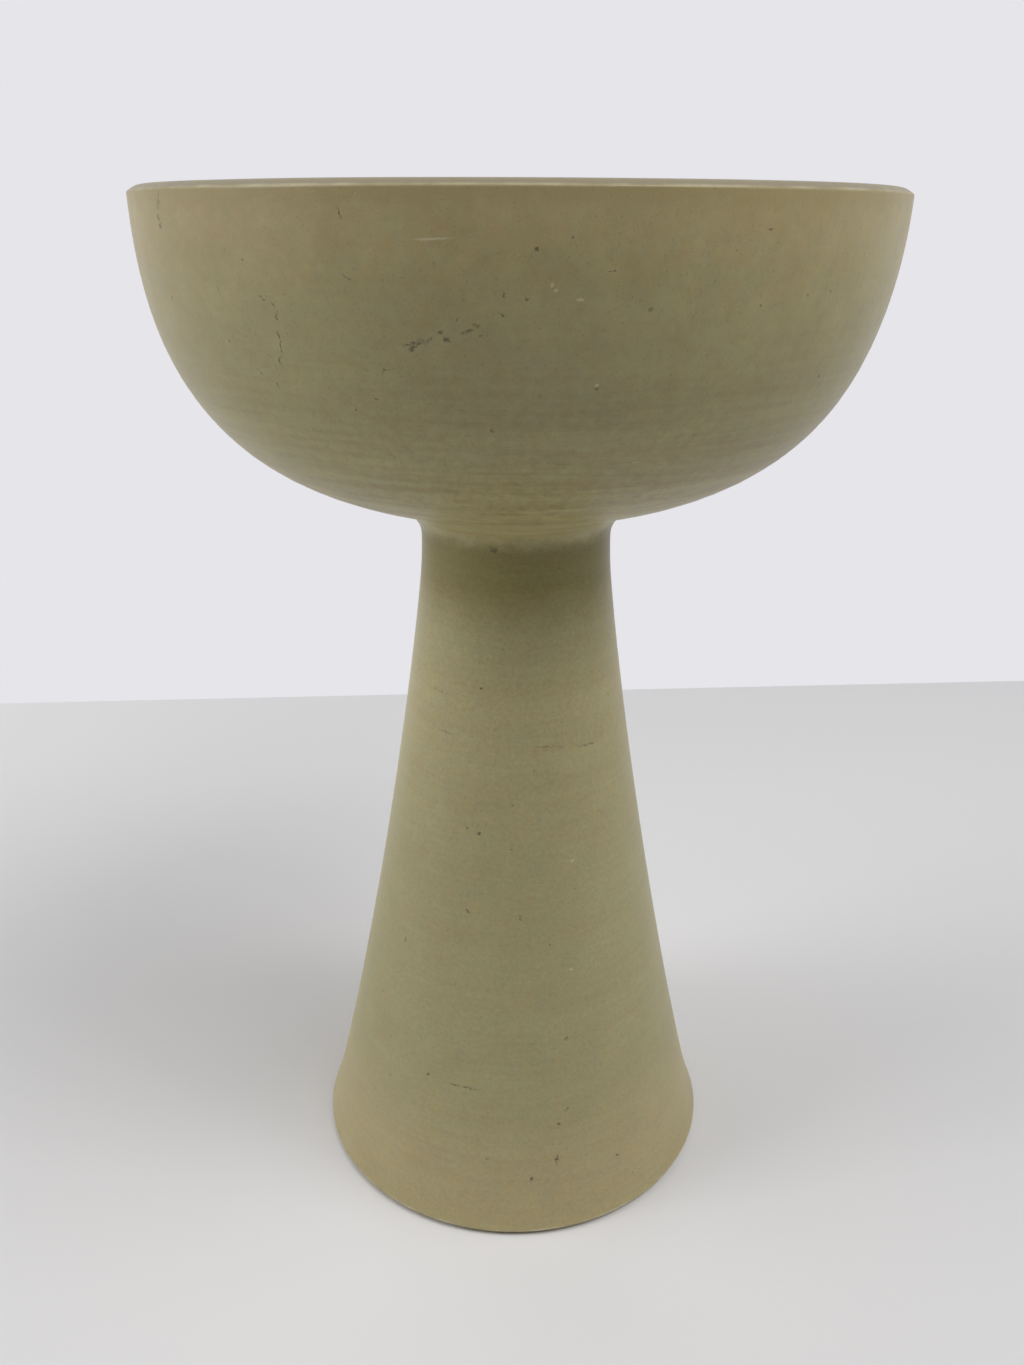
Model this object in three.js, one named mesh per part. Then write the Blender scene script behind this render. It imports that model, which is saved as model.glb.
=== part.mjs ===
// A tall footed ikebana bowl in glazed stoneware.
// A wheel-thrown bowl stands on a hollow, wheel-thrown pedestal. The two are luted together
// with a layer of slip, and a coil of soft clay is smoothed into the corner round the joint.
// Millimetres, +Z up, with the origin on the floor at the centre of the foot.

import * as THREE from 'three';

// Bowl
const rimRadius = 89.4;          // outer radius at the rim, the widest place
const bowlRise = 76.55;          // flat seat under the bowl to the top of the lip
const rimLean = 0.2;             // degrees that the wall still opens out at the rim
const rimFullness = 0.57;        // how far down the wall stays upright, as a share of its rise
const bellyFullness = 0.65;      // how far out the underside runs, as a share of its spread
const bellySlope = 16.5;         // degrees above level where the belly leaves the flare
const flareSpread = 13.05;       // radius gained by the gentle flare outside the joint
const flareRise = 5.15;          // height gained by that flare
const lipWall = 5.2;             // wall thickness at the lip
const bellyWall = 7.2;           // wall thickness low in the bowl
const floorThickness = 8;        // clay between the seat and the flat floor for the flower holder
const lipBevelRise = 1.25;       // height of the bevel round the outside of the lip
const lipBevelWidth = 2.1;       // radius that the bevel takes off
const lipRound = 1.2;            // rounding on the inner edge of the lip
const floorDish = 1;             // the wall's last bend into the floor begins this far above it

// Joint
const coilRadius = 7.9;          // hollow of the smoothed coil
const coilSweep = 60;            // degrees through which the coil turns from the neck to the bowl
const slipThickness = 1;         // fired layer of slip between the bowl and the pedestal
const tenonStep = 2.5;           // shoulder cut round the pedestal's top for the coil
const coilClearance = 0.3;       // shrinkage gap between the coil and what it goes round

// Pedestal
const neckRadius = 25;           // narrowest outer radius, at the shoulder
const shoulderHeight = 187.2;    // floor to the shoulder
const neckBlend = 114;           // radius of the bend from the upright neck into the cone
const neckTaper = 6.6;           // degrees from upright below that bend
const neckPull = 0.261;          // how long the neck's taper lasts, as a share of the cone
const footPull = 0.353;          // how long the foot's taper lasts, as a share of the cone
const footTaper = 13.5;          // degrees from upright where the foot begins to flare
const footRadius = 58.6;         // outer radius at the floor
const footFlareRise = 13.8;      // height of the top of the flare at the foot
const footFlareWidth = 3.9;      // radius gained by that flare
const footEdge = 1.5;            // bevel under the edge of the foot, inside and out
const neckWall = 7;              // wall thickness at the neck
const footWall = 6;              // wall thickness at the foot

// Fineness of the turned surfaces
const turnSteps = 64;
const bellySteps = 13;
const flareSteps = 3;
const lipSteps = 2;
const coilSteps = 5;
const coneSteps = 9;
const bendSteps = 3;

// Heights and radii that follow from the sizes above
const radians = THREE.MathUtils.degToRad;
const seatHeight = shoulderHeight + coilRadius * Math.sin(radians(coilSweep));
const seatEdge = neckRadius + coilRadius * (1 - Math.cos(radians(coilSweep)));
const lipTop = seatHeight + bowlRise;
const floorHeight = seatHeight + floorThickness;
const tenonRadius = neckRadius - tenonStep;
const tenonTop = seatHeight - slipThickness;
const boreRadius = neckRadius - neckWall;

const glaze = new THREE.MeshStandardMaterial({ color: 0x8f8763, roughness: 0.5, metalness: 0 });
const bareClay = new THREE.MeshStandardMaterial({ color: 0xb09f80, roughness: 0.9, metalness: 0 });

// A profile point: distance from the axis, then height.
function at(radius, height) {
  return new THREE.Vector2(radius, height);
}

// The point at a distance from another, in a direction given in degrees above outward.
function stepFrom(point, degrees, distance) {
  const angle = radians(degrees);
  return at(point.x + distance * Math.cos(angle), point.y + distance * Math.sin(angle));
}

// Where the line through p at one slope meets the line through q at another, in degrees.
function meeting(p, slopeP, q, slopeQ) {
  const rateP = Math.tan(radians(slopeP));
  const rateQ = Math.tan(radians(slopeQ));
  const radius = (q.y - p.y + rateP * p.x - rateQ * q.x) / (rateP - rateQ);
  return at(radius, p.y + rateP * (radius - p.x));
}

// The profile moved into the clay, square to itself, by a wall that changes evenly along it.
function inset(profile, firstWall, lastWall) {
  const last = profile.length - 1;
  return profile.map((point, i) => {
    const along = profile[Math.min(i + 1, last)].clone().sub(profile[Math.max(i - 1, 0)]).normalize();
    const wall = THREE.MathUtils.lerp(firstWall, lastWall, i / last);
    return at(point.x + along.y * wall, point.y - along.x * wall);
  });
}

// A piece turned on the wheel, from a profile that runs up its outside and down its inside.
function turned(name, profile, material) {
  const mesh = new THREE.Mesh(new THREE.LatheGeometry(profile, turnSteps), material);
  mesh.name = name;
  mesh.rotation.x = Math.PI / 2;
  return mesh;
}

// The bowl: a flat seat underneath, a flare, a full belly, a bevelled lip and an even wall
// inside it, down to a flat floor.
function bowl() {
  const seatCorner = at(seatEdge, seatHeight);
  const flareTop = at(seatEdge + flareSpread, seatHeight + flareRise);
  const rimCorner = at(rimRadius, lipTop - lipBevelRise);
  const flareBend = meeting(seatCorner, 90 - coilSweep, flareTop, bellySlope);
  const bellyPull = bellyFullness * (rimCorner.x - flareTop.x) / Math.cos(radians(bellySlope));
  const rimPull = rimFullness * (rimCorner.y - flareTop.y);

  const flare = new THREE.QuadraticBezierCurve(seatCorner, flareBend, flareTop).getPoints(flareSteps);
  const belly = new THREE.CubicBezierCurve(
    flareTop,
    stepFrom(flareTop, bellySlope, bellyPull),
    stepFrom(rimCorner, -90 - rimLean, rimPull),
    rimCorner,
  ).getPoints(bellySteps);
  const outside = [...flare.slice(0, -1), ...belly];

  const inside = inset([...outside].reverse(), lipWall, bellyWall);
  const wall = inside.filter((point) => point.y > floorHeight + floorDish);
  const lowest = wall[wall.length - 1];
  const fall = lowest.clone().sub(wall[wall.length - 2]);
  const floorCorner = at(lowest.x + fall.x * (floorHeight - lowest.y) / fall.y, floorHeight);

  const round = Math.min(lipRound, (lipWall - lipBevelWidth) / 2);
  const roundCentre = at(wall[0].x + round, lipTop - round);
  const lip = [at(rimRadius - lipBevelWidth, lipTop)];
  for (let i = 0; i <= lipSteps; i += 1) {
    lip.push(stepFrom(roundCentre, 90 + 90 * i / lipSteps, round));
  }
  const underside = at(0, seatHeight);
  const floorCentre = at(0, floorHeight);
  const profile = [underside, ...outside, ...lip, ...wall.slice(1), floorCorner, floorCentre];
  return turned('bowl', profile, glaze);
}

// The slip: a flat ring that fills the joint between the bowl's seat and the pedestal's top.
function slipLayer() {
  const profile = [
    at(boreRadius, tenonTop),
    at(tenonRadius, tenonTop),
    at(tenonRadius, seatHeight),
    at(boreRadius, seatHeight),
    at(boreRadius, tenonTop),
  ];
  return turned('slip_layer', profile, bareClay);
}

// The coil: a ring on the pedestal's shoulder, hollowed outside from the neck to the bowl.
function neckCoil() {
  const inner = tenonRadius + coilClearance;
  const hollowCentre = at(neckRadius + coilRadius, shoulderHeight);
  const profile = [at(inner, shoulderHeight)];
  for (let i = 0; i <= coilSteps; i += 1) {
    profile.push(stepFrom(hollowCentre, 180 - coilSweep * i / coilSteps, coilRadius));
  }
  profile.push(at(inner, seatHeight), at(inner, shoulderHeight));
  return turned('neck_coil', profile, glaze);
}

// The pedestal: a hollow cone, open at the top and the foot, with a slightly hollow outline.
function pedestal() {
  const bendCentre = at(neckRadius + neckBlend, shoulderHeight);
  const coneTop = stepFrom(bendCentre, 180 + neckTaper, neckBlend);
  const flareTop = at(footRadius - footFlareWidth, footFlareRise);
  const coneRise = coneTop.y - flareTop.y;
  const footCorner = at(footRadius, footEdge);
  const flareBend = meeting(flareTop, footTaper - 90, at(0, (footEdge + footFlareRise) / 2), 0);

  const flare = new THREE.QuadraticBezierCurve(footCorner, flareBend, flareTop).getPoints(bendSteps);
  const cone = new THREE.CubicBezierCurve(
    flareTop,
    stepFrom(flareTop, 90 + footTaper, footPull * coneRise),
    stepFrom(coneTop, neckTaper - 90, neckPull * coneRise),
    coneTop,
  ).getPoints(coneSteps);
  const neck = [];
  for (let i = 1; i <= bendSteps; i += 1) {
    neck.push(stepFrom(bendCentre, 180 + neckTaper * (1 - i / bendSteps), neckBlend));
  }
  const outside = [...flare.slice(0, -1), ...cone, ...neck];

  const hollow = outside.map((point) => {
    const wall = THREE.MathUtils.mapLinear(point.y, footEdge, shoulderHeight, footWall, neckWall);
    return at(point.x - wall, point.y);
  });
  const footInside = at(hollow[0].x + footEdge, 0);
  const profile = [
    footInside,
    at(footRadius - footEdge, 0),
    ...outside,
    at(tenonRadius, shoulderHeight),
    at(tenonRadius, tenonTop),
    at(boreRadius, tenonTop),
    ...hollow.reverse(),
    footInside,
  ];
  return turned('pedestal', profile, glaze);
}

const vessel = new THREE.Group();
vessel.add(bowl(), slipLayer(), neckCoil(), pedestal());

export default vessel;
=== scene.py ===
"""The finish of a tall footed ikebana bowl in satin glazed stoneware, turned on the wheel.

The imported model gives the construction. Here the bowl, the coil under it and the pedestal are
turned again with a fine surface, glazed, and set on a plain stage. The file is laid out as an
add-on and is run as a script.
"""

import math

import bpy
from bpy.props import FloatProperty, FloatVectorProperty, IntProperty, PointerProperty
from bpy.types import NodeSocket, Operator, Panel, PropertyGroup
from mathutils import Matrix, Vector
from mathutils.geometry import interpolate_bezier


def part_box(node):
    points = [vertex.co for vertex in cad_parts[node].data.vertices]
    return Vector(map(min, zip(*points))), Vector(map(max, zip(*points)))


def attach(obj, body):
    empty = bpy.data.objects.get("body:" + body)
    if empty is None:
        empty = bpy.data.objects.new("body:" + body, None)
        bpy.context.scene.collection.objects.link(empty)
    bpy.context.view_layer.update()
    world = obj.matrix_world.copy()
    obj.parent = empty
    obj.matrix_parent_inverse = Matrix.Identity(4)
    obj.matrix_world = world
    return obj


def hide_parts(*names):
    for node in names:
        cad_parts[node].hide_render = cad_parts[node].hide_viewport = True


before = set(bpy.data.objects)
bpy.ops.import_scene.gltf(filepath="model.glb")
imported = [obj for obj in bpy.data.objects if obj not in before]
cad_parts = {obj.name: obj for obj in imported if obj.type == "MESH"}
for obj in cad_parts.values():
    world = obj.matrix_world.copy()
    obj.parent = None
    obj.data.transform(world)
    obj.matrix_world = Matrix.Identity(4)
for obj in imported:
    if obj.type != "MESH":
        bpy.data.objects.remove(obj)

bl_info = {
    "name": "Footed ikebana bowl",
    "version": (1, 0, 0),
    "blender": (4, 5, 0),
    "location": "View3D > Sidebar > Ikebana bowl",
    "description": "Turns, glazes and stages a tall footed ikebana bowl",
    "category": "Mesh",
}

MM = 0.001
UP = math.pi / 2         # straight up, as the direction of an outline
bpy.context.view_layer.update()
BOWL_LOW, BOWL_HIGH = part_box("bowl")
COIL_LOW, COIL_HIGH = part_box("neck_coil")
CONE_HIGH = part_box("pedestal")[1]


# Sizes and colours

def length(name, description, millimetres):
    """A size that a user may change, given in millimetres and kept in metres."""
    size = millimetres * MM
    return FloatProperty(name=name, description=description, default=size, unit="LENGTH", precision=5)


def angle(name, description, degrees):
    """An angle that a user may change, given in degrees."""
    turn_by = math.radians(degrees)
    return FloatProperty(name=name, description=description, default=turn_by, unit="ROTATION")


def share(name, description, value):
    """A plain share or strength, from 0 to 1."""
    return FloatProperty(name=name, description=description, default=value, subtype="FACTOR")


def linear(hex_colour):
    """Red, green and blue of an sRGB hex colour, as linear values."""
    channels = [int(hex_colour[i:i + 2], 16) / 255 for i in (0, 2, 4)]
    return [c / 12.92 if c <= 0.04045 else ((c + 0.055) / 1.055) ** 2.4 for c in channels]


def colour(name, description, hex_colour):
    """A colour that a user may change, given as sRGB hex."""
    paint = linear(hex_colour)
    return FloatVectorProperty(name=name, description=description, default=paint, subtype="COLOR")


class BowlSizes(PropertyGroup):
    rim_lean: angle("Rim lean", "How far the wall still opens out at the rim", 0.2)
    rim_fullness: share("Rim fullness", "How far down the wall stays upright", 0.57)
    belly_fullness: share("Belly fullness", "How far out the underside runs", 0.65)
    belly_slope: angle("Belly slope", "Slope above level where the belly leaves the flare", 16.5)
    flare_spread: length("Flare spread", "Radius gained by the flare outside the joint", 13.05)
    flare_rise: length("Flare rise", "Height gained by that flare", 5.15)
    lip_wall: length("Lip wall", "Wall thickness at the lip", 5.2)
    belly_wall: length("Belly wall", "Wall thickness low in the bowl", 7.2)
    floor_thickness: length("Floor thickness", "Clay between the seat and the flat floor", 8)
    floor_round: length("Floor rounding", "Rounding between the wall and the flat floor", 3)
    bevel_rise: length("Bevel rise", "Height of the bevel round the outside of the lip", 1.25)
    bevel_width: length("Bevel width", "Radius that the bevel takes off", 2.1)
    lip_round: length("Lip round", "Rounding on the inner edge of the lip", 1.2)
    lip_soft: length("Lip softness", "Rounding of the glaze over the bevel's two edges", 0.35)


class ConeSizes(PropertyGroup):
    neck_radius: length("Neck radius", "Narrowest outer radius, at the shoulder", 25)
    coil_radius: length("Coil hollow", "Hollow of the coil smoothed round the joint", 7.9)
    coil_sweep: angle("Coil sweep", "Turn of the coil from the neck to the bowl", 60)
    tenon_step: length("Shoulder", "Width of the shoulder that the coil sits on", 2.5)
    coil_clearance: length("Coil clearance", "Gap between the coil and what it goes round", 0.3)
    neck_blend: length("Neck blend", "Radius of the bend from the upright neck into the cone", 114)
    neck_taper: angle("Neck taper", "Lean of the cone below that bend", 6.6)
    neck_pull: share("Neck pull", "How long the neck's taper lasts", 0.261)
    foot_pull: share("Foot pull", "How long the foot's taper lasts", 0.353)
    foot_taper: angle("Foot taper", "Lean of the cone where the foot begins to flare", 13.5)
    flare_rise: length("Foot flare rise", "Height of the top of the flare at the foot", 13.8)
    flare_width: length("Foot flare width", "Radius gained by that flare", 3.9)
    foot_edge: length("Foot edge", "Bevel under the edge of the foot", 1.5)
    edge_soft: length("Foot edge softness", "Rounding of the glaze over the foot's edge", 0.35)
    neck_wall: length("Neck wall", "Wall thickness at the neck", 7)
    foot_wall: length("Foot wall", "Wall thickness at the foot", 6)


class TurningSizes(PropertyGroup):
    steps: IntProperty(name="Steps", description="Steps round each turned piece", default=256)
    outside_gap: length("Outside spacing", "Spacing of the points of the bowl's outline outside", 0.55)
    inside_gap: length("Inside spacing", "Spacing of the points of the bowl's outline inside", 1.3)
    cone_gap: length("Pedestal spacing", "Spacing of the points of the pedestal's outline", 0.75)
    hollow_gap: length("Hollow spacing", "Spacing of the points inside the pedestal", 2.5)
    seat_gap: length("Seat spacing", "Spacing of the points across the bowl's seat", 6)
    floor_gap: length("Floor spacing", "Spacing of the points across the bowl's floor", 4)
    tool_depth: length("Tool lines", "Depth of the lines that the turning tool leaves", 0.035)
    finger_depth: length("Finger rings", "Depth of the soft rings that fingers leave inside", 0.16)
    hand_depth: length("Hand wobble", "Slow unevenness of a hand-turned wall", 0.22)
    hand_span: length("Wobble span", "Distance over which the wall goes in and out", 60)
    lean: length("Bowl lean", "How far the rim stands to the right of the axis", 0.5)


class GlazeColours(PropertyGroup):
    lip: colour("Glaze below the lip", "Thin and warm, where it has run off the lip", "9e9064")
    upper: colour("Upper bowl glaze", "Glaze on the upright wall of the bowl", "988e63")
    # Painted shade: the belly tone is darker where the bowl's underside turns away from the light.
    belly: colour("Belly glaze", "Thicker and darker on the belly", "90875b")
    low: colour("Low bowl glaze", "Glaze on the underside of the bowl", "958b5f")
    under: colour("Coil glaze", "Thin glaze over the coil and just above it", "a29768")
    # Painted shade: this dark neck tone stands for the bowl's shadow over the neck.
    neck: colour("Neck glaze", "Glaze pooled round the neck", "7c723d")
    shaft_top: colour("Upper pedestal glaze", "Palest, below the neck", "a69c70")
    shaft: colour("Pedestal glaze", "Glaze on the middle of the pedestal", "9b9369")
    foot: colour("Foot glaze", "Thin and warm round the foot", "a6996e")
    rim: colour("Rim glaze", "Glaze on the bevel and the top of the lip", "766d51")
    # Painted shade: a darker band just under the bevel.
    painted_lip_shade: colour("Gathered glaze", "Glaze gathered in a band under the bevel", "948659")
    # Partly wear, partly painted highlight: the pale lines along the lip's bevel and the foot's edge.
    wear_and_highlight: colour("Worn edge", "Glaze worn and drawn thin over an edge", "c5bc9f")
    speck: colour("Iron speck", "Iron specks, pits and scuffs", "3a2f12")
    # Partly painted highlight: this pale colour also draws a glint among the bowl's pale marks.
    nick_and_glint: colour("Pale nick", "Small pale nicks and scratches", "cfc8ae")
    clay: colour("Bare clay", "Unglazed fired clay", "b3a180")
    bowl_mottle: length("Bowl mottle", "Size of the mottling on the bowl", 2.1)
    cone_mottle: length("Pedestal mottle", "Size of the mottling on the pedestal", 1.15)
    grain: length("Grain", "Size of the finest grain in the glaze", 0.5)
    line_gap: length("Line spacing", "Spacing of the turning lines that show through", 1.3)
    band_gap: length("Band spacing", "Spacing of the broader bands of the turning", 5)


class StageSettings(PropertyGroup):
    paper: colour("Floor", "Pale floor", "dcdbdc")
    wall: colour("Backdrop", "Pale backdrop", "e6e5ea")
    fill: share("Fill light", "Strength of the soft light from all round", 0.05)
    focal_pixels: FloatProperty(
        name="Focal length in pixels", description="Fitted to the photograph", default=1130)
    image_height: FloatProperty(name="Image height in pixels", description="The long side", default=1365)
    camera_distance: length("Camera distance", "Level distance from the axis to the camera", 293.1)
    camera_height: length("Camera height", "Height of the camera above the floor", 264)
    camera_pitch: angle("Camera pitch", "How far the camera looks down", 22.2863)
    camera_roll: angle("Camera roll", "Turn of the picture", 0.2147)
    camera_yaw: angle("Camera yaw", "Turn of the camera to the left", 0.1798)
    floor_back: length("Floor depth", "Distance from the axis to the back edge of the floor", 335.9)
    floor_turn: angle("Floor turn", "Turn of the floor's back edge", 4)


# Outlines. A point is a distance from the axis and a height, and a direction is an angle above
# outward. Each outline runs up the outside of its piece and down the inside.

def at(radius, height):
    return Vector((radius, height))


def step_from(point, direction, distance):
    return point + distance * Vector((math.cos(direction), math.sin(direction)))


def curve(start, start_direction, start_pull, end, end_direction, end_pull):
    """A smooth curve that leaves both its ends in given directions, as closely spaced points."""
    point_count = 400
    start_handle = step_from(start, start_direction, start_pull)
    end_handle = step_from(end, end_direction, end_pull)
    return interpolate_bezier(start, start_handle, end_handle, end, point_count)


def arc(centre, radius, start, end, steps):
    """Part of a circle from one direction to another."""
    return [step_from(centre, start + (end - start) * i / steps, radius) for i in range(steps + 1)]


def leg_lengths(points):
    """The distance from each point of a line to the next."""
    return [(b - a).length for a, b in zip(points, points[1:])]


def evenly(points, gap):
    """The same line with its points about a gap apart."""
    lengths = leg_lengths(points)
    count = max(1, round(sum(lengths) / gap))
    spaced = [points[0]]
    walked = 0
    leg = 0
    for i in range(1, count):
        target = sum(lengths) * i / count
        while walked + lengths[leg] < target:
            walked += lengths[leg]
            leg += 1
        spaced.append(points[leg].lerp(points[leg + 1], (target - walked) / lengths[leg]))
    return spaced + [points[-1]]


def soften(before, corner, after, radius, steps=4):
    """A corner rounded off between the points before and after it."""
    start = corner + (before - corner).normalized() * radius
    end = corner + (after - corner).normalized() * radius
    shares = [i / steps for i in range(steps + 1)]
    return [start.lerp(corner, t).lerp(corner.lerp(end, t), t) for t in shares]


def moved_square(points, depth_at):
    """The line with each point moved to its left by depth_at(how far along it is, the point)."""
    last = len(points) - 1
    moved = []
    along = 0
    for i, point in enumerate(points):
        if i:
            along += (point - points[i - 1]).length
        heading = (points[min(i + 1, last)] - points[max(i - 1, 0)]).normalized()
        moved.append(point + depth_at(along, point) * Vector((-heading.y, heading.x)))
    return moved


def smooth_step(value, low, high):
    """A share that goes smoothly from 0 at the low value to 1 at the high one."""
    t = min(max((value - low) / (high - low), 0), 1)
    return t * t * (3 - 2 * t)


def clear_of_ends(along, total, first, last):
    """A share that is 0 at both ends of a line and 1 past its first stretch and before its last."""
    return smooth_step(along, 0, first) * (1 - smooth_step(along, total - last, total))


def tool_line(along):
    """The fine uneven lines of a turning tool, from about -1 to 1, as waves that share no beat.

    Each wave has its length in millimetres and its size.
    """
    waves = ((1.7, 0.4), (2.6, 0.3), (4.3, 0.35), (7.9, 0.25))
    return sum(size * math.sin(math.tau * along / (wave * MM) + wave) for wave, size in waves)


def finger_ring(along):
    """The soft rings that fingers leave inside, from about -1 to 1, as waves like those of the tool."""
    waves = ((6.5, 0.7), (9.7, 0.4))
    return sum(size * math.sin(math.tau * along / (wave * MM)) for wave, size in waves)


def bowl_outline(bowl, cone, turning):
    """The bowl's outline, in metres: seat, flare, belly, bevelled lip, inner wall and flat floor."""
    seat_corner = at(COIL_HIGH.x, BOWL_LOW.z)
    flare_top = seat_corner + at(bowl.flare_spread, bowl.flare_rise)
    rim_corner = at(BOWL_HIGH.x, BOWL_HIGH.z - bowl.bevel_rise)
    bevel_top = at(BOWL_HIGH.x - bowl.bevel_width, BOWL_HIGH.z)
    flare_pull = (flare_top - seat_corner).length / 3
    belly_pull = bowl.belly_fullness * (rim_corner.x - flare_top.x) / math.cos(bowl.belly_slope)
    rim_pull = bowl.rim_fullness * (rim_corner.y - flare_top.y)
    flare = curve(
        seat_corner, UP - cone.coil_sweep, flare_pull,
        flare_top, bowl.belly_slope + math.pi, flare_pull,
    )
    belly = curve(
        flare_top, bowl.belly_slope, belly_pull,
        rim_corner, -UP - bowl.rim_lean, rim_pull,
    )
    bare = evenly(flare[:-1] + belly, turning.outside_gap)
    total = sum(leg_lengths(bare))

    # The tool's lines lose most of their depth on the upright wall, and the finger rings die out
    # below the lip.
    lost_at_rim = 0.85
    full_lines_to = BOWL_LOW.z + 25 * MM
    ring_fade = 14 * MM

    def outside_depth(along, point):
        kept = 1 - lost_at_rim * smooth_step(point.y, full_lines_to, BOWL_HIGH.z)
        ends = clear_of_ends(along, total, first=4 * MM, last=2 * MM)
        return turning.tool_depth * tool_line(along) * kept * ends

    def wall_depth(along, point):
        fade = 1 - smooth_step(along, total - ring_fade, total)
        rings = turning.finger_depth * finger_ring(along) * fade
        return bowl.belly_wall + (bowl.lip_wall - bowl.belly_wall) * along / total + rings

    # The wall stops a little above the floor, and its last stretch is carried on down to it.
    floor_height = BOWL_LOW.z + bowl.floor_thickness
    wall_end = floor_height + 1 * MM
    inside = reversed(moved_square(bare, wall_depth))
    wall = [point for point in inside if point.y > wall_end]
    fall = wall[-1] - wall[-4]
    floor_corner = wall[-1] + fall * ((floor_height - wall[-1].y) / fall.y)

    # The lip's rounding takes the place of the wall's first two points.
    outside = moved_square(bare, outside_depth)
    soft = bowl.lip_soft
    lip_inner = at(wall[0].x + bowl.lip_round, BOWL_HIGH.z)
    lip = soften(outside[-2], rim_corner, bevel_top, soft)
    lip += soften(rim_corner, bevel_top, lip_inner, 2 * soft)
    lip += arc(lip_inner - at(0, bowl.lip_round), bowl.lip_round, UP, 2 * UP, steps=6)
    while (outside[-1] - rim_corner).length < soft:
        outside.pop()
    inner_wall = evenly(wall[2:], turning.inside_gap)

    floor = soften(wall[-1], floor_corner, at(0, floor_height), bowl.floor_round, steps=6)
    seat = evenly([at(0, BOWL_LOW.z), seat_corner], turning.seat_gap)
    middle = evenly([floor[-1], at(0, floor_height)], turning.floor_gap)
    return seat[:-1] + outside + lip + inner_wall + floor + middle[1:]


def coil_outline(cone):
    """The coil's outline: hollow outside, and flat where it sits and where the bowl sits on it."""
    inner = cone.neck_radius - cone.tenon_step + cone.coil_clearance
    centre = at(cone.neck_radius + cone.coil_radius, COIL_LOW.z)
    hollow = arc(centre, cone.coil_radius, math.pi, math.pi - cone.coil_sweep, steps=16)
    top = at(inner, COIL_HIGH.z)
    bottom = at(inner, COIL_LOW.z)
    return [bottom] + hollow + [top, bottom]


def pedestal_outline(cone, turning):
    """The pedestal's outline: foot ring, flare, cone, neck, shoulder, and the hollow inside."""
    bend_centre = at(cone.neck_radius + cone.neck_blend, COIL_LOW.z)
    cone_top = step_from(bend_centre, math.pi + cone.neck_taper, cone.neck_blend)
    flare_top = at(CONE_HIGH.x - cone.flare_width, cone.flare_rise)
    cone_rise = cone_top.y - flare_top.y
    foot_corner = at(CONE_HIGH.x, 0)
    flare_foot = foot_corner + at(0, cone.foot_edge)
    flare_pull = (cone.flare_rise - cone.foot_edge) / 3

    # The flare leaves the foot so that it bends evenly into the cone.
    cone_direction = UP + cone.foot_taper
    rise = flare_top - flare_foot
    flare_direction = 2 * math.atan2(rise.y, rise.x) - cone_direction
    flare = curve(
        flare_foot, flare_direction, flare_pull,
        flare_top, cone_direction + math.pi, flare_pull,
    )
    shaft = curve(
        flare_top, cone_direction, cone.foot_pull * cone_rise,
        cone_top, cone.neck_taper - UP, cone.neck_pull * cone_rise,
    )
    neck = arc(bend_centre, cone.neck_blend, math.pi + cone.neck_taper, math.pi, steps=40)
    bare = evenly(flare[:-1] + shaft[:-1] + neck, turning.cone_gap)
    total = sum(leg_lengths(bare))

    # The tool's lines are shallower than on the bowl, and the finger rings leave both ends plain.
    line_share = 0.6
    plain_foot = 8 * MM
    plain_top = 10 * MM

    def outside_depth(along, point):
        ends = clear_of_ends(along, total, first=3 * MM, last=4 * MM)
        return line_share * turning.tool_depth * tool_line(along) * ends

    def hollow_point(point):
        wall = cone.foot_wall + (cone.neck_wall - cone.foot_wall) * point.y / COIL_LOW.z
        ends = clear_of_ends(point.y, COIL_LOW.z, plain_foot, plain_top)
        rings = turning.finger_depth * finger_ring(point.y) * ends
        return at(point.x - wall - rings, point.y)

    outside = moved_square(bare, outside_depth)
    ring = [foot_corner - at(cone.foot_edge, 0)]
    ring += soften(ring[0], outside[0], outside[1], cone.edge_soft)
    hollow = [hollow_point(point) for point in reversed(evenly(bare, turning.hollow_gap))]
    tenon = cone.neck_radius - cone.tenon_step
    bore = cone.neck_radius - cone.neck_wall
    top = [at(tenon, COIL_LOW.z), at(tenon, CONE_HIGH.z), at(bore, CONE_HIGH.z)]
    foot_inside = at(hollow[-1].x + cone.foot_edge, 0)
    return [foot_inside] + ring + outside[1:] + top + hollow + [foot_inside]


# Turning

MERGE_DISTANCE = 0.004 * MM
SMOOTH_ANGLE = math.radians(40)


def turn(name, outline, steps):
    """Draws the outline point by point beside the axis, spins it round, and closes the surface.

    The first point is a small square merged to its centre.
    """
    bpy.ops.object.select_all(action="DESELECT")
    bpy.ops.mesh.primitive_plane_add(size=MM, location=(outline[0].x, 0, outline[0].y))
    bpy.ops.object.transform_apply(location=True, rotation=True, scale=True)
    piece = bpy.context.object
    piece.name = name
    piece.data.name = name
    bpy.ops.object.mode_set(mode="EDIT")
    bpy.ops.mesh.select_all(action="SELECT")
    bpy.ops.mesh.merge(type="CENTER")
    for start, end in zip(outline, outline[1:]):
        step = (end.x - start.x, 0, end.y - start.y)
        bpy.ops.mesh.extrude_region_move(TRANSFORM_OT_translate={"value": step})
    bpy.ops.mesh.select_all(action="SELECT")
    bpy.ops.mesh.spin(steps=steps, angle=math.tau, center=(0, 0, 0), axis=(0, 0, 1))
    bpy.ops.mesh.select_all(action="SELECT")
    bpy.ops.mesh.remove_doubles(threshold=MERGE_DISTANCE)
    bpy.ops.mesh.normals_make_consistent(inside=False)
    bpy.ops.object.mode_set(mode="OBJECT")
    return piece


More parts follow.
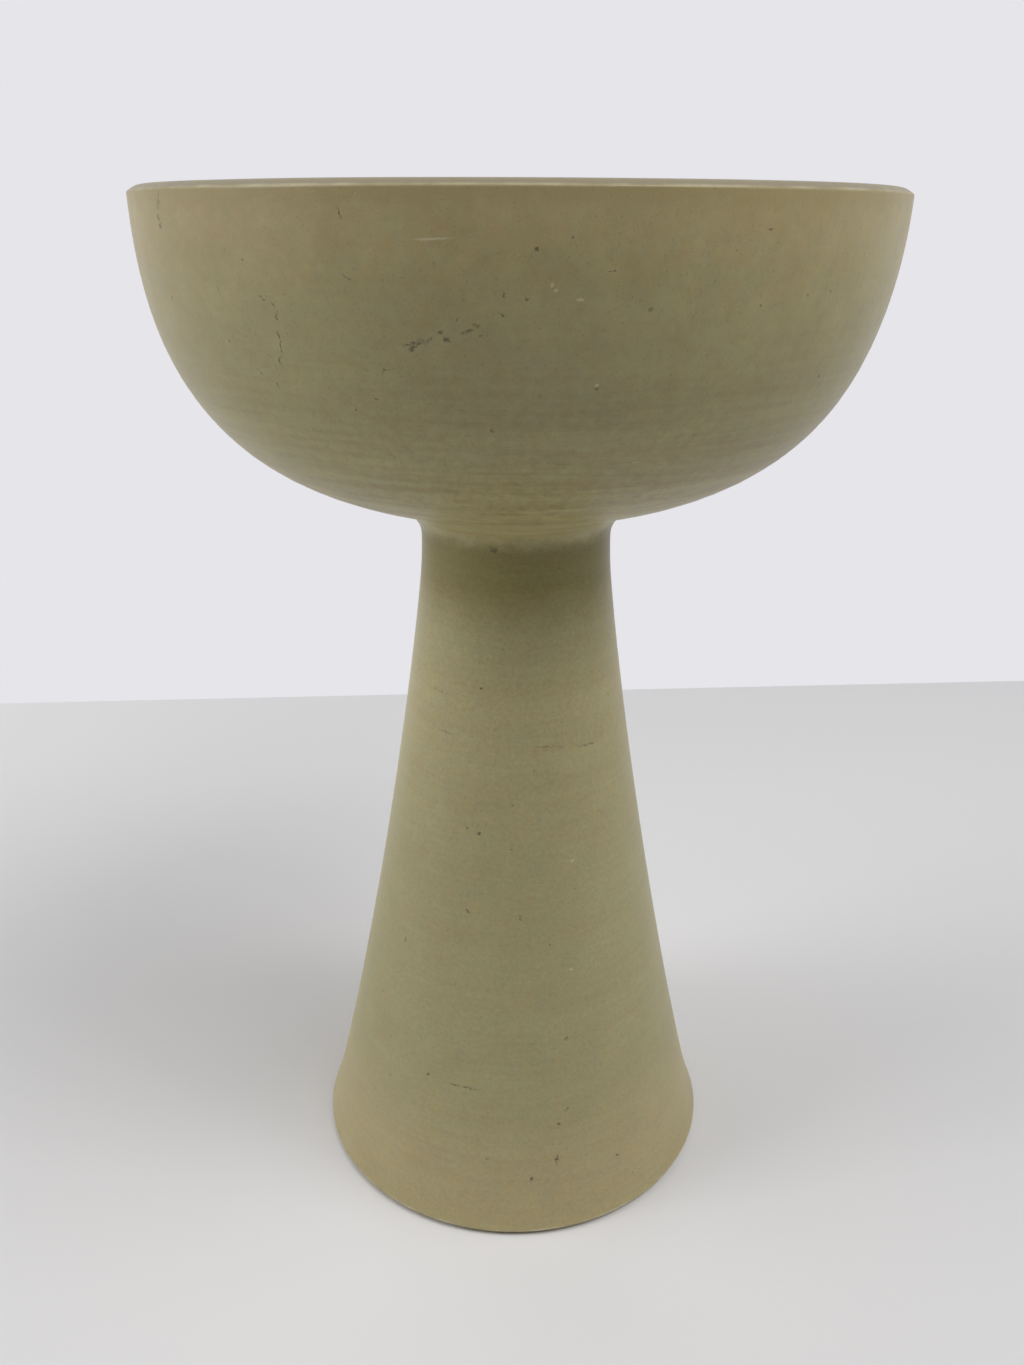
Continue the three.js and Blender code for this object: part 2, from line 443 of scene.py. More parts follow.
def displace(piece, weight_at, distance, direction, texture=None):
    """Moves the surface by the distance times weight_at(place).

    With a texture it goes in and out instead, by up to half the distance each way.
    """
    group = piece.vertex_groups.new(name="moved")
    for vertex in piece.data.vertices:
        group.add([vertex.index], weight_at(vertex.co), "REPLACE")
    move = piece.modifiers.new("move", "DISPLACE")
    move.direction = direction
    move.strength = distance
    move.mid_level = 0.5 if texture else 0
    move.texture = texture
    move.texture_coords = "LOCAL"
    move.vertex_group = group.name
    bpy.context.view_layer.objects.active = piece
    bpy.ops.object.modifier_apply(modifier=move.name)
    piece.vertex_groups.remove(piece.vertex_groups["moved"])


def wobble(piece, turning, weight_at):
    """Lets the wall go slowly in and out, as a hand-turned wall does, where weight_at(place) isn't 0."""
    drift = bpy.data.textures.new(piece.name + "_drift", "CLOUDS")
    drift.noise_scale = turning.hand_span
    drift.noise_depth = 1
    displace(piece, weight_at, turning.hand_depth, "NORMAL", drift)


def finish_piece(piece, node, material_names, is_bare=None):
    """Smooths the piece, gives it its materials, and lets it stand for its node.

    Where is_bare(polygon) holds, the piece shows its second material.
    """
    bpy.ops.object.select_all(action="DESELECT")
    piece.select_set(True)
    bpy.context.view_layer.objects.active = piece
    bpy.ops.object.shade_smooth_by_angle(angle=SMOOTH_ANGLE)
    for name in material_names:
        piece.data.materials.append(bpy.data.materials[name])
    if is_bare:
        for polygon in piece.data.polygons:
            polygon.material_index = 1 if is_bare(polygon) else 0
    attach(piece, "root")
    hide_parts(node)


# Marks that the photograph shows on the front. Each has its centre's direction, in degrees to the
# right of the front, its height, length and width in millimetres, and its tilt above level, in
# degrees.
BOWL_DARK_MARKS = (
    (-51, 268.3, 1.2, 1.79, 0), (-51.5, 266.7, 4, 1.76, 62), (-52, 264.2, 2.4, 1.64, 104),
    (-51.8, 262.6, 2, 1.76, 84), (-20, 264.9, 3.2, 0.77, 105), (-19.7, 254.6, 4, 0.34, -30),
    (-12.2, 243.5, 6.5, 1, 8), (-12, 243.3, 4.2, 1, 55), (-12.5, 242.6, 2.4, 1.31, 20),
    (-10.4, 244.3, 2.8, 0.82, 30), (-8.9, 245.4, 2.6, 0.9, 25), (-8.2, 244.3, 1.9, 0.98, 0),
    (-6.8, 247.6, 1.6, 0.57, 40), (-5.9, 245.8, 3.6, 1, 14), (-4.7, 246.7, 1.8, 1.15, 10),
    (-6.1, 244.1, 1.5, 0.63, 50), (-4.2, 245, 0.9, 0.66, 0), (-1.5, 248.6, 1.4, 0.9, 20),
    (1.2, 251.3, 1.3, 0.83, 0), (2.1, 259.3, 1.4, 0.55, 0), (15.4, 249.4, 1.3, 0.73, 0),
    (-1.4, 251.8, 1.7, 0.55, 90), (10.5, 255.9, 2.2, 0.5, 0), (10, 235.5, 1, 0.74, 0),
    (-16.5, 238.2, 2.8, 0.67, 20), (-32.2, 250.4, 3.6, 0.46, -35), (-30.6, 249.2, 3.8, 0.46, -55),
    (-30.4, 247.2, 2.2, 0.46, 110), (-30.9, 243.8, 3.4, 0.7, 95), (-30.9, 241.8, 2.8, 0.7, 80),
    (-31.6, 239, 2.4, 0.7, 85), (-52.6, 248.9, 1.7, 0.9, 90), (-35.9, 236.3, 2, 0.72, -40),
    (-33.5, 234.4, 1.2, 0.72, 0), (-18.3, 233, 1.3, 0.82, 0), (-18.5, 221.1, 2.6, 0.82, 100),
    (47, 234.9, 1.3, 0.82, 0), (72, 251.9, 1.3, 0.98, 0), (30, 262.4, 1.2, 0.82, 0),
    (26, 225.4, 1.5, 0.82, 20), (-3, 227.4, 2.2, 0.89, 0),
)
# Painted highlight: the small pale marks from 3.9 to 7.1 degrees, 251 to 254 mm up, are a painted glint;
# the others are nicks and scratches.
BOWL_PALE_MARKS = (
    (-9.3, 260.9, 9.5, 0.5, 2), (3.9, 253.6, 1.1, 0.8, 60), (4.3, 252.7, 1, 0.8, 0),
    (7.1, 251.2, 2.2, 0.8, 0), (10, 236.2, 1.2, 0.9, 0), (18, 219.9, 4, 0.6, 0),
)
CONE_DARK_MARKS = (
    (-43.5, 150, 13, 0.42, 0), (-37, 139.8, 7, 0.42, 0), (16, 137.9, 12, 0.36, -4),
    (38, 136.4, 12, 0.36, -4), (-17.5, 153.4, 1.4, 1.2, 0), (-21, 115.4, 1.2, 1.1, 0),
    (-15.5, 114.4, 1.2, 1.4, 0), (25.5, 97.9, 1.2, 1, 0), (-19, 92.4, 2, 1.1, 0),
    (2.5, 91.9, 1.5, 1.2, 0), (-47.5, 77.4, 1.5, 1.2, 0), (-57, 57.4, 1.4, 1.2, 0),
    (18.5, 55.9, 1.4, 1.2, 0), (-29.5, 42.4, 1.4, 1.1, 0), (-16.5, 41.8, 14, 0.5, -1),
    (17.5, 35.4, 2.8, 1, 35), (14.5, 31.4, 1.7, 1.2, 0), (13.5, 21.4, 5, 1.2, 85),
    (33.5, 16.4, 1.7, 1.2, 0), (-7.5, 21.9, 1.1, 1, 0), (5.5, 16.4, 2, 1, 90),
    (-12.5, 189, 2.6, 2.4, 0),
)
CONE_PALE_MARKS = (
    (25.5, 105.9, 1.2, 1.1, 0), (22, 75.4, 1.2, 1.1, 0),
)
MARK_DEPTH = 2.8         # how far a mark reaches into the wall, so that it meets the curved surface


# Materials

BOWL_GLAZE = "satin_glazed_stoneware_bowl"
PEDESTAL_GLAZE = "satin_glazed_stoneware_pedestal"
BARE_CLAY = "bare_fired_stoneware"
# Most of what noise from 0 to 1 gives lies between these two.
NOISE_LOW = 0.3
NOISE_HIGH = 0.7
# Level lines and bands are noise squeezed along the level by this much.
LEVEL_SQUEEZE = 0.035
# How much of a darker patch of glaze each of red, green and blue takes: dark glaze is browner.
DARK_TINT = (0.72, 1.0, 1.25)
# What a rustier patch of glaze adds to each of them.
WARM_TINT = (1.0, 0.0, -1.4)


def add_node(tree, kind, settings=None, inputs=None):
    """Adds a node. settings are its own choices, and inputs are values or sockets to link."""
    node = tree.nodes.new(kind)
    for name, value in (settings or {}).items():
        setattr(node, name, value)
    for name, value in (inputs or {}).items():
        if isinstance(value, NodeSocket):
            tree.links.new(value, node.inputs[name])
        else:
            node.inputs[name].default_value = value
    return node


def noise(tree, place, size, detail, roughness=0.5, signed=False):
    """Cloudy noise with features of a size in mm, from 0 to 1 or, when signed, round 0."""
    return add_node(tree, "ShaderNodeTexNoise", {"normalize": not signed},
                    {"Vector": place, "Scale": 1 / size, "Detail": detail, "Roughness": roughness})


def remap(tree, value, low, high, to_low=0.0, to_high=1.0, clamp=True):
    """A value that runs from to_low to to_high while the given one runs from low to high."""
    return add_node(tree, "ShaderNodeMapRange", {"clamp": clamp},
                    {"Value": value, "From Min": low, "From Max": high,
                     "To Min": to_low, "To Max": to_high}).outputs[0]


def either_side(tree, layer, strength):
    """What a layer of noise adds or takes away, mostly within the strength either side of 0."""
    value = layer.outputs["Fac"]
    return remap(tree, value, NOISE_LOW, NOISE_HIGH, -strength, strength, clamp=False)


def calculate(tree, operation, *values):
    """One step of arithmetic with numbers."""
    return add_node(tree, "ShaderNodeMath", {"operation": operation}, dict(enumerate(values))).outputs[0]


def calculate_vector(tree, operation, *values):
    """One step of arithmetic with places or colours."""
    node = add_node(tree, "ShaderNodeVectorMath", {"operation": operation}, dict(enumerate(values)))
    return node.outputs[0]


def new_material(name):
    """A material with nothing in its node tree."""
    material = bpy.data.materials.new(name)
    material.use_nodes = True
    material.node_tree.nodes.clear()
    return material


def place_in_mm(tree):
    """The place on the piece, in millimetres."""
    place = add_node(tree, "ShaderNodeTexCoord").outputs["Object"]
    scaled = add_node(tree, "ShaderNodeVectorMath", {"operation": "SCALE"}, {0: place, "Scale": 1 / MM})
    return scaled.outputs[0]


def marks_cover(tree, point, marks, radius_at, raggedness):
    """How far a point lies inside any of the marks: 1 in the middle of one, 0 outside them all."""
    ragged = noise(tree, point, size=0.9, detail=3, signed=True)
    torn = calculate_vector(tree, "MULTIPLY_ADD", ragged.outputs["Color"], (raggedness,) * 3, point)
    cover = 0.0
    for azimuth, height, length_across, width, tilt in marks:
        turn_to = math.radians(azimuth)
        radius = radius_at(height)
        centre = (radius * math.sin(turn_to), -radius * math.cos(turn_to), height)
        inside = add_node(tree, "ShaderNodeMapping", {"vector_type": "TEXTURE"},
                          {"Vector": torn, "Location": centre,
                           "Rotation": (0, -math.radians(tilt), turn_to),
                           "Scale": (length_across / 2, MARK_DEPTH, width / 2)})
        mark = add_node(tree, "ShaderNodeTexGradient", {"gradient_type": "SPHERICAL"},
                        {"Vector": inside.outputs[0]})
        cover = calculate(tree, "MAXIMUM", cover, mark.outputs["Fac"])
    crumbs = noise(tree, point, size=0.45, detail=2, signed=True)
    return calculate(tree, "MULTIPLY_ADD", crumbs.outputs["Fac"], raggedness, cover)


def lay_over(tree, under, paint, share_over):
    """A plain colour laid over another colour, as thickly as the share says."""
    mixed = add_node(tree, "ShaderNodeMix", {"data_type": "RGBA"},
                     {"Factor": share_over, 6: under, 7: (*paint, 1)})
    return mixed.outputs[2]


def ramp_up(tree, height, stops):
    """A colour that changes with height, from (height in mm, colour) pairs given from the bottom up."""
    lowest = stops[0][0]
    highest = stops[-1][0]
    climb = remap(tree, height, lowest, highest)
    ramp = add_node(tree, "ShaderNodeValToRGB", None, {"Fac": climb})
    elements = ramp.color_ramp.elements
    elements.remove(elements[1])
    elements[0].color = (*stops[0][1], 1)
    for stop_height, paint in stops[1:]:
        elements.new((stop_height - lowest) / (highest - lowest)).color = (*paint, 1)
    return ramp.outputs["Color"]


def unevenness(tree, point, height, mottle, colours, surface, gains):
    """How much lighter or darker each place is, and what that and the rust make of its colour."""
    level = add_node(tree, "ShaderNodeMapping", {"vector_type": "POINT"},
                     {"Vector": point, "Scale": (LEVEL_SQUEEZE, LEVEL_SQUEEZE, 1)}).outputs[0]
    drift = noise(tree, point, size=12, detail=3, roughness=0.6)
    grain = noise(tree, point, size=colours.grain / MM, detail=1)
    lines = noise(tree, level, size=colours.line_gap / MM, detail=2, roughness=0.6)
    bands = noise(tree, level, size=colours.band_gap / MM, detail=1)
    gain = add_node(tree, "ShaderNodeSeparateColor", None, {0: ramp_up(tree, height, gains)})
    cloud_gain, line_gain, drift_gain = gain.outputs
    layers = (
        ("drift", drift, drift_gain),
        ("mottle", mottle, cloud_gain),
        ("grain", grain, cloud_gain),
        ("lines", lines, line_gain),
        ("bands", bands, line_gain),
    )
    shade = 0.0
    for name, layer, layer_gain in layers:
        centred = either_side(tree, layer, surface[name])
        shade = calculate(tree, "MULTIPLY_ADD", centred, layer_gain, shade)

    rust = noise(tree, point, size=4, detail=3, roughness=0.65)
    warmer = either_side(tree, rust, surface["warmth"])
    warmed = calculate_vector(tree, "MULTIPLY_ADD", warmer, WARM_TINT, (1, 1, 1))
    return shade, calculate_vector(tree, "MULTIPLY_ADD", shade, DARK_TINT, warmed)


def pits(tree, point, dark_marks, radius_at):
    """How deep a place lies in an iron speck or in one of the dark marks.

    Specks lie in about one in five of the cells of a loose grid, and are fainter than the marks.
    """
    speck_spacing = 5
    cells_without = 0.8
    dots = add_node(tree, "ShaderNodeTexVoronoi", None, {"Vector": point, "Scale": 1 / speck_spacing})
    dot = remap(tree, dots.outputs["Distance"], low=0.075, high=0.035, to_high=0.6)
    chosen = add_node(tree, "ShaderNodeSeparateColor", None, {0: dots.outputs["Color"]})
    dot_here = calculate(tree, "GREATER_THAN", chosen.outputs[0], cells_without)
    specks = calculate(tree, "MULTIPLY", dot, dot_here)
    cover = marks_cover(tree, point, dark_marks, radius_at, raggedness=0.5)
    marks = remap(tree, cover, low=0.18, high=0.9)
    deepest = 0.8
    return calculate(tree, "MULTIPLY", calculate(tree, "MAXIMUM", marks, specks), deepest)


def glazed_stoneware(name, colours, surface, tones, gains, dark_marks, pale_marks, radius_at):
    """Satin wood-ash glaze, poured over turned stoneware.

    To the eye: a soft sheen with no mirror, an olive beige that is warmer where it thins and
    darker where its tones carry painted shade, a faint mottle of a millimetre or two, the turning's
    lines and bands under it, and a few iron specks. tones are the glaze's colours, some of them
    painted shade, and gains are the strengths of its cloudy texture, of its lines and bands, and of
    its slow drift, each with a height in millimetres. surface gives the strength of each kind of
    texture, how far in millimetres the tones run up and down, and the size of the mottle.
    """
    tree = new_material(name).node_tree
    point = place_in_mm(tree)
    height = add_node(tree, "ShaderNodeSeparateXYZ", None, {0: point}).outputs["Z"]
    run = noise(tree, point, size=5, detail=3, signed=True)
    wavy_height = calculate(tree, "MULTIPLY_ADD", run.outputs["Fac"], surface["run"], height)
    mottle = noise(tree, point, size=surface["mottle_size"] / MM, detail=2, roughness=0.6)
    shade, tint = unevenness(tree, point, height, mottle, colours, surface, gains)
    body = calculate_vector(tree, "MULTIPLY", ramp_up(tree, wavy_height, tones), tint)

    pitting = pits(tree, point, dark_marks, radius_at)
    body = lay_over(tree, body, colours.speck, pitting)
    cover = marks_cover(tree, point, pale_marks, radius_at, raggedness=0.15)
    body = lay_over(tree, body, colours.nick_and_glint, remap(tree, cover, low=0.1, high=0.6, to_high=0.4))

    sheen = remap(tree, mottle.outputs["Fac"], NOISE_LOW, NOISE_HIGH, to_low=0.36, to_high=0.44)
    relief = calculate(tree, "SUBTRACT", shade, pitting)
    bump = add_node(tree, "ShaderNodeBump", None,
                    {"Strength": 0.6, "Distance": 0.25 * MM, "Height": relief})
    shader = add_node(tree, "ShaderNodeBsdfPrincipled", None,
                      {"Base Color": body, "Roughness": sheen, "IOR": 1.5,
                       "Coat Weight": 0.05, "Coat Roughness": 0.28, "Coat IOR": 1.5,
                       "Normal": bump.outputs[0]})
    add_node(tree, "ShaderNodeOutputMaterial", None, {"Surface": shader.outputs[0]})
    return tree, shader, body, height, point


def wear_and_highlight_line(tree, point, height, line_height, strength):
    """How far a point lies on a thin pale line round the piece, which comes and goes: partly wear and
    partly a painted highlight along an edge.
    """
    distance = calculate(tree, "ABSOLUTE", calculate(tree, "SUBTRACT", height, line_height))
    line = remap(tree, distance, low=0.35, high=0.1)
    breaks = noise(tree, point, size=8, detail=4)
    unbroken = remap(tree, breaks.outputs["Fac"], low=0.42, high=0.62, to_high=strength)
    return calculate(tree, "MULTIPLY", line, unbroken)


def glaze_for_bowl(colours, bowl, radius_at):
    """The bowl's glaze, duller on the rim, with painted shade under the bevel and a pale line in places
    along the bevel's edge, partly wear and partly a painted highlight.
    """
    # Painted shade: the belly tone darkens the glaze low on the bowl, where its underside turns away
    # from the light.
    tones = (
        (197, colours.under), (213, colours.low), (231, colours.belly),
        (251, colours.upper), (267, colours.lip),
    )
    surface = {
        "mottle_size": colours.bowl_mottle, "run": 6.0, "warmth": 0.04,
        "drift": 0.065, "mottle": 0.055, "grain": 0.024, "lines": 0.055, "bands": 0.035,
    }
    gains = ((206, (3.0, 2.9, 0.3)), (223, (1.7, 1.6, 0.35)), (246, (0.8, 0.2, 1.2)))
    tree, shader, body, height, point = glazed_stoneware(
        BOWL_GLAZE, colours, surface, tones, gains, BOWL_DARK_MARKS, BOWL_PALE_MARKS, radius_at,
    )

    # Painted shade: a darker band under the bevel, whose lower edge sags unevenly.
    bevel_foot = (BOWL_HIGH.z - bowl.bevel_rise) / MM
    sag_by = 2.6
    band_start = bevel_foot - 3.8
    band_full = bevel_foot - 1.8
    sag = noise(tree, point, size=4, detail=4, signed=True)
    sagging = calculate(tree, "MULTIPLY_ADD", sag.outputs["Fac"], sag_by, height)
    painted_lip_shade = remap(tree, sagging, band_start, band_full, to_high=0.6)
    body = lay_over(tree, body, colours.painted_lip_shade, painted_lip_shade)
    rim = remap(tree, height, bevel_foot, bevel_foot + 0.3, to_high=0.8)
    body = lay_over(tree, body, colours.rim, rim)
    # Painted highlight and wear: a pale line along the bevel's lower edge.
    wear_and_highlight = wear_and_highlight_line(tree, point, height, bevel_foot + 0.1, strength=0.35)
    tree.links.new(lay_over(tree, body, colours.wear_and_highlight, wear_and_highlight), shader.inputs["Base Color"])


def glaze_for_pedestal(colours, cone, radius_at):
    """The pedestal's glaze, finely mottled, with painted shade round the neck and a pale line of wear
    and painted highlight along the foot's edge.
    """
    # Painted shade: the neck tone from 179 to 189 mm darkens the glaze where the bowl shades the neck.
    tones = (
        (16, colours.foot), (40, colours.shaft), (101, colours.shaft), (149, colours.shaft_top),
        (167, colours.shaft), (179, colours.neck), (189, colours.neck), (193, colours.under),
    )
    surface = {
        "mottle_size": colours.cone_mottle, "run": 1.8, "warmth": 0.04,
        "drift": 0.04, "mottle": 0.068, "grain": 0.042, "lines": 0.03, "bands": 0.02,
    }
    gains = (
        (20, (0.8, 1.0, 1.0)), (60, (1.0, 1.0, 1.0)), (151, (1.0, 1.0, 1.0)),
        (176, (1.25, 1.3, 1.0)), (193, (1.25, 1.8, 1.0)),
    )
    tree, shader, body, height, point = glazed_stoneware(
        PEDESTAL_GLAZE, colours, surface, tones, gains, CONE_DARK_MARKS, CONE_PALE_MARKS, radius_at,
    )
    # Painted highlight and wear: a pale line just above the foot's bevel.
    wear_and_highlight = wear_and_highlight_line(tree, point, height, cone.foot_edge / MM + 0.2, strength=0.8)
    tree.links.new(lay_over(tree, body, colours.wear_and_highlight, wear_and_highlight), shader.inputs["Base Color"])


def bare_stoneware(colours):
    """Unglazed fired stoneware: dry, matte and slightly gritty, with grog and pores."""
    tree = new_material(BARE_CLAY).node_tree
    grit = noise(tree, place_in_mm(tree), size=0.7, detail=4, roughness=0.6).outputs["Fac"]
    shade = remap(tree, grit, low=0.25, high=0.75, to_low=0.82, to_high=1.12)
    tint = add_node(tree, "ShaderNodeVectorMath", {"operation": "SCALE"},
                    {0: tuple(colours.clay), "Scale": shade})
    bump = add_node(tree, "ShaderNodeBump", None,
                    {"Strength": 0.6, "Distance": 0.15 * MM, "Height": grit})
    shader = add_node(tree, "ShaderNodeBsdfPrincipled", None,
                      {"Base Color": tint.outputs[0], "Roughness": 0.85, "IOR": 1.5,
                       "Normal": bump.outputs[0]})
    add_node(tree, "ShaderNodeOutputMaterial", None, {"Surface": shader.outputs[0]})


def stage_card(name, paint):
    """Plain pale satin card."""
    material = new_material(name)
    tree = material.node_tree
    shader = add_node(tree, "ShaderNodeBsdfPrincipled", None,
                      {"Base Color": (*paint, 1), "Roughness": 0.35, "IOR": 1.45})
    add_node(tree, "ShaderNodeOutputMaterial", None, {"Surface": shader.outputs[0]})
    return material


# Operators

def outer_radius(outline):
    """A function that gives the outline's outer radius in mm at a height in mm."""
    near = 2 * MM

    def radius_at(height):
        return max(point.x for point in outline if abs(point.y - height * MM) < near) / MM

    return radius_at


class IKEBANA_OT_materials(Operator):
    """Mixes the glazes and the bare clay"""
    bl_idname = "ikebana.materials"
    bl_label = "Mix the glazes and the clay"

    def execute(self, context):
        scene = context.scene
        turning = scene.turning_sizes
        bowl = bowl_outline(scene.bowl_sizes, scene.cone_sizes, turning)
        pedestal = pedestal_outline(scene.cone_sizes, turning)
        glaze_for_bowl(scene.glaze_colours, scene.bowl_sizes, outer_radius(bowl))
        glaze_for_pedestal(scene.glaze_colours, scene.cone_sizes, outer_radius(pedestal))
        bare_stoneware(scene.glaze_colours)
        return {"FINISHED"}


class IKEBANA_OT_bowl(Operator):
    """Turns the bowl, with its lip, its inner wall and its floor"""
    bl_idname = "ikebana.bowl"
    bl_label = "Turn the bowl"

    def execute(self, context):
        scene = context.scene
        turning = scene.turning_sizes
        outline = bowl_outline(scene.bowl_sizes, scene.cone_sizes, turning)
        piece = turn("turned_bowl", outline, turning.steps)
        joint_end = BOWL_LOW.z + 4 * MM
        wobble_full = BOWL_LOW.z + 25 * MM
        lean_start = BOWL_LOW.z + 38 * MM

        def open_wall(place):
            return smooth_step(place.z, joint_end, wobble_full)

        def leaning_wall(place):
            return smooth_step(place.z, lean_start, BOWL_HIGH.z)

        wobble(piece, turning, open_wall)
        displace(piece, leaning_wall, turning.lean, "X")
        finish_piece(piece, "bowl", [BOWL_GLAZE])
        return {"FINISHED"}


class IKEBANA_OT_coil(Operator):
    """Smooths the coil into the corner between the pedestal and the bowl"""
    bl_idname = "ikebana.coil"
    bl_label = "Smooth the coil round the joint"

    def execute(self, context):
        scene = context.scene
        outline = coil_outline(scene.cone_sizes)
        piece = turn("smoothed_neck_coil", outline, scene.turning_sizes.steps)
        finish_piece(piece, "neck_coil", [PEDESTAL_GLAZE])
        return {"FINISHED"}


class IKEBANA_OT_pedestal(Operator):
    """Turns the pedestal, glazed outside and bare inside and under the foot"""
    bl_idname = "ikebana.pedestal"
    bl_label = "Turn the pedestal"

    def execute(self, context):
        scene = context.scene
        turning = scene.turning_sizes
        outline = pedestal_outline(scene.cone_sizes, turning)
        piece = turn("turned_pedestal", outline, turning.steps)
        foot_end = 2 * MM
        wobble_full = 20 * MM
        wobble_end = COIL_LOW.z - 25 * MM
        joint_start = COIL_LOW.z - 4 * MM
        facing_in = -0.2
        facing_down = -0.9

        def open_wall(place):
            above_foot = smooth_step(place.z, foot_end, wobble_full)
            return above_foot * (1 - smooth_step(place.z, wobble_end, joint_start))

        def is_bare(polygon):
            outward = Vector((polygon.center.x, polygon.center.y, 0)).normalized()
            return polygon.normal.dot(outward) < facing_in or polygon.normal.z < facing_down

        wobble(piece, turning, open_wall)
        finish_piece(piece, "pedestal", [PEDESTAL_GLAZE, BARE_CLAY], is_bare)
        return {"FINISHED"}


class IKEBANA_OT_slip(Operator):
    """Gives the layer of slip in the joint its bare clay finish"""
    bl_idname = "ikebana.slip"
    bl_label = "Finish the slip in the joint"

    def execute(self, context):
        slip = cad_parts["slip_layer"]
        slip.data.materials.clear()
        slip.data.materials.append(bpy.data.materials[BARE_CLAY])
        return {"FINISHED"}


# Square soft boxes that stand in for the photograph's light. Each has its name, its place and its
# width in metres, its power in watts, and whether its picture shows in the gloss.
LAMPS = (
    ("key_softbox", (0.5, -0.4, 1.2), 0.6, 6.0, True),
    ("left_softbox", (-1.0, -0.3, 0.75), 0.5, 3.6, True),
    ("left_low_softbox", (-1.0, -0.1, 0.3), 0.5, 2.2, False),
    ("right_softbox", (1.0, -0.3, 0.75), 0.5, 2.9, False),
    ("left_top_softbox", (-0.75, 0, 1.1), 0.8, 3.3, True),
    ("right_top_softbox", (0.75, 0, 1.1), 0.8, 3.6, False),
    ("back_left_softbox", (-0.75, 0.9, 0.4), 0.7, 2.6, False),
    ("back_top_softbox", (0, 0.7, 1.1), 0.9, 0.9, True),
)
LAMP_AIM = Vector((0, 0, 0.15))         # a little above the vessel's middle
FLOOR_WIDTH = 4.0                       # metres
FLOOR_DEPTH = 3.0                       # metres
SENSOR_WIDTH = 36                       # millimetres, along the picture's long side


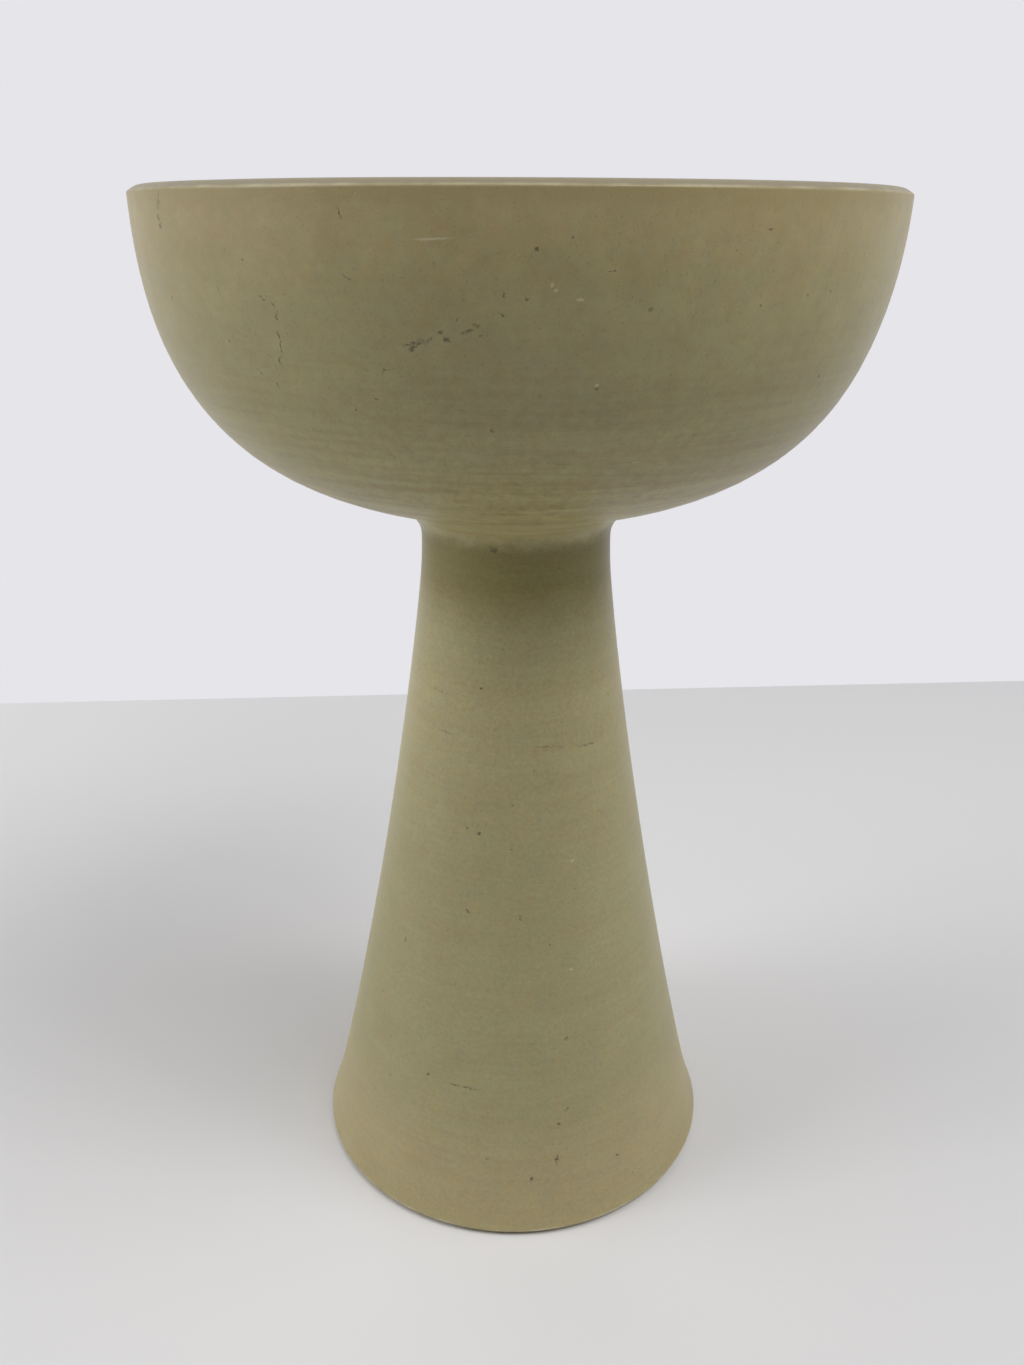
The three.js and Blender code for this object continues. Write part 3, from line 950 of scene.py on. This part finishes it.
class IKEBANA_OT_stage(Operator):
    """Sets the floor, the backdrop colour, the lights and the camera"""
    bl_idname = "ikebana.stage"
    bl_label = "Set the stage"

    def execute(self, context):
        scene = context.scene
        stage = scene.stage_settings
        self.lay_floor(stage)
        self.light_world(scene, stage)
        self.hang_lamps(scene)
        self.place_camera(scene, stage)
        scene.view_settings.view_transform = "Standard"
        return {"FINISHED"}

    def lay_floor(self, stage):
        """Lays the floor with the middle of its back edge behind the object, and turns it there."""
        bpy.ops.object.select_all(action="DESELECT")
        bpy.ops.mesh.primitive_plane_add(size=1, location=(0, 0, 0))
        floor = bpy.context.object
        floor.name = "floor"
        spread_out = Matrix.Diagonal((FLOOR_WIDTH, FLOOR_DEPTH, 1, 1))
        forward = Matrix.Translation((0, -FLOOR_DEPTH / 2, 0))
        turned = Matrix.Rotation(stage.floor_turn, 4, "Z")
        back = Matrix.Translation((0, stage.floor_back, 0))
        floor.data.transform(back @ turned @ forward @ spread_out)
        floor.data.materials.append(stage_card("pale_card_floor", stage.paper))

    def light_world(self, scene, stage):
        """The camera and the gloss see the pale backdrop; the rest of the light is a soft fill."""
        world = bpy.data.worlds.new("pale_room")
        scene.world = world
        world.use_nodes = True
        tree = world.node_tree
        tree.nodes.clear()
        path = add_node(tree, "ShaderNodeLightPath")
        seen = 0.0
        for kind in ("Is Camera Ray", "Is Glossy Ray", "Is Transmission Ray"):
            seen = calculate(tree, "MAXIMUM", seen, path.outputs[kind])
        fill = add_node(tree, "ShaderNodeBackground", None,
                        {"Color": (1, 1, 1, 1), "Strength": stage.fill})
        wall = add_node(tree, "ShaderNodeBackground", None,
                        {"Color": (*stage.wall, 1), "Strength": 1.0})
        mixed = add_node(tree, "ShaderNodeMixShader", None,
                         {"Fac": seen, 1: fill.outputs[0], 2: wall.outputs[0]})
        add_node(tree, "ShaderNodeOutputWorld", None, {"Surface": mixed.outputs[0]})

    def hang_lamps(self, scene):
        """Hangs the soft boxes out of the camera's sight, each turned to the vessel."""
        for name, place, size, watts, in_gloss in LAMPS:
            lamp = bpy.data.lights.new(name, "AREA")
            lamp.shape = "SQUARE"
            lamp.size = size
            lamp.energy = watts
            holder = bpy.data.objects.new(name, lamp)
            holder.location = place
            holder.rotation_euler = (LAMP_AIM - Vector(place)).to_track_quat("-Z", "Y").to_euler()
            holder.visible_camera = False
            holder.visible_glossy = in_gloss
            scene.collection.objects.link(holder)

    def place_camera(self, scene, stage):
        """Sets the camera where the photograph's stood, from the fit to the vessel's outline."""
        data = bpy.data.cameras.new("photo_camera")
        data.sensor_fit = "AUTO"
        data.sensor_width = SENSOR_WIDTH
        data.lens = stage.focal_pixels / stage.image_height * SENSOR_WIDTH
        camera = bpy.data.objects.new("photo_camera", data)
        turn_left = Matrix.Rotation(stage.camera_yaw, 4, "Z")
        look_down = Matrix.Rotation(math.pi / 2 - stage.camera_pitch, 4, "X")
        roll = Matrix.Rotation(stage.camera_roll, 4, "Z")
        stand = Matrix.Translation((0, -stage.camera_distance, stage.camera_height))
        camera.matrix_world = stand @ turn_left @ look_down @ roll
        scene.collection.objects.link(camera)
        scene.camera = camera


STEPS = (
    IKEBANA_OT_materials,
    IKEBANA_OT_bowl,
    IKEBANA_OT_coil,
    IKEBANA_OT_pedestal,
    IKEBANA_OT_slip,
    IKEBANA_OT_stage,
)
GROUPS = {
    "bowl_sizes": BowlSizes,
    "cone_sizes": ConeSizes,
    "turning_sizes": TurningSizes,
    "glaze_colours": GlazeColours,
    "stage_settings": StageSettings,
}


class IKEBANA_PT_panel(Panel):
    bl_idname = "IKEBANA_PT_panel"
    bl_label = "Footed ikebana bowl"
    bl_space_type = "VIEW_3D"
    bl_region_type = "UI"
    bl_category = "Ikebana bowl"

    def draw(self, context):
        for step in STEPS:
            self.layout.operator(step.bl_idname)
        for name, group in GROUPS.items():
            box = self.layout.box()
            for value in group.__annotations__:
                box.prop(getattr(context.scene, name), value)


def register():
    for group in GROUPS.values():
        bpy.utils.register_class(group)
    for step in STEPS:
        bpy.utils.register_class(step)
    bpy.utils.register_class(IKEBANA_PT_panel)
    for name, group in GROUPS.items():
        setattr(bpy.types.Scene, name, PointerProperty(type=group))


def unregister():
    for name in GROUPS:
        delattr(bpy.types.Scene, name)
    bpy.utils.unregister_class(IKEBANA_PT_panel)
    for step in reversed(STEPS):
        bpy.utils.unregister_class(step)
    for group in reversed(list(GROUPS.values())):
        bpy.utils.unregister_class(group)


def main():
    register()
    bpy.ops.ikebana.materials()
    bpy.ops.ikebana.bowl()
    bpy.ops.ikebana.coil()
    bpy.ops.ikebana.pedestal()
    bpy.ops.ikebana.slip()
    bpy.ops.ikebana.stage()


if __name__ == "__main__":
    main()
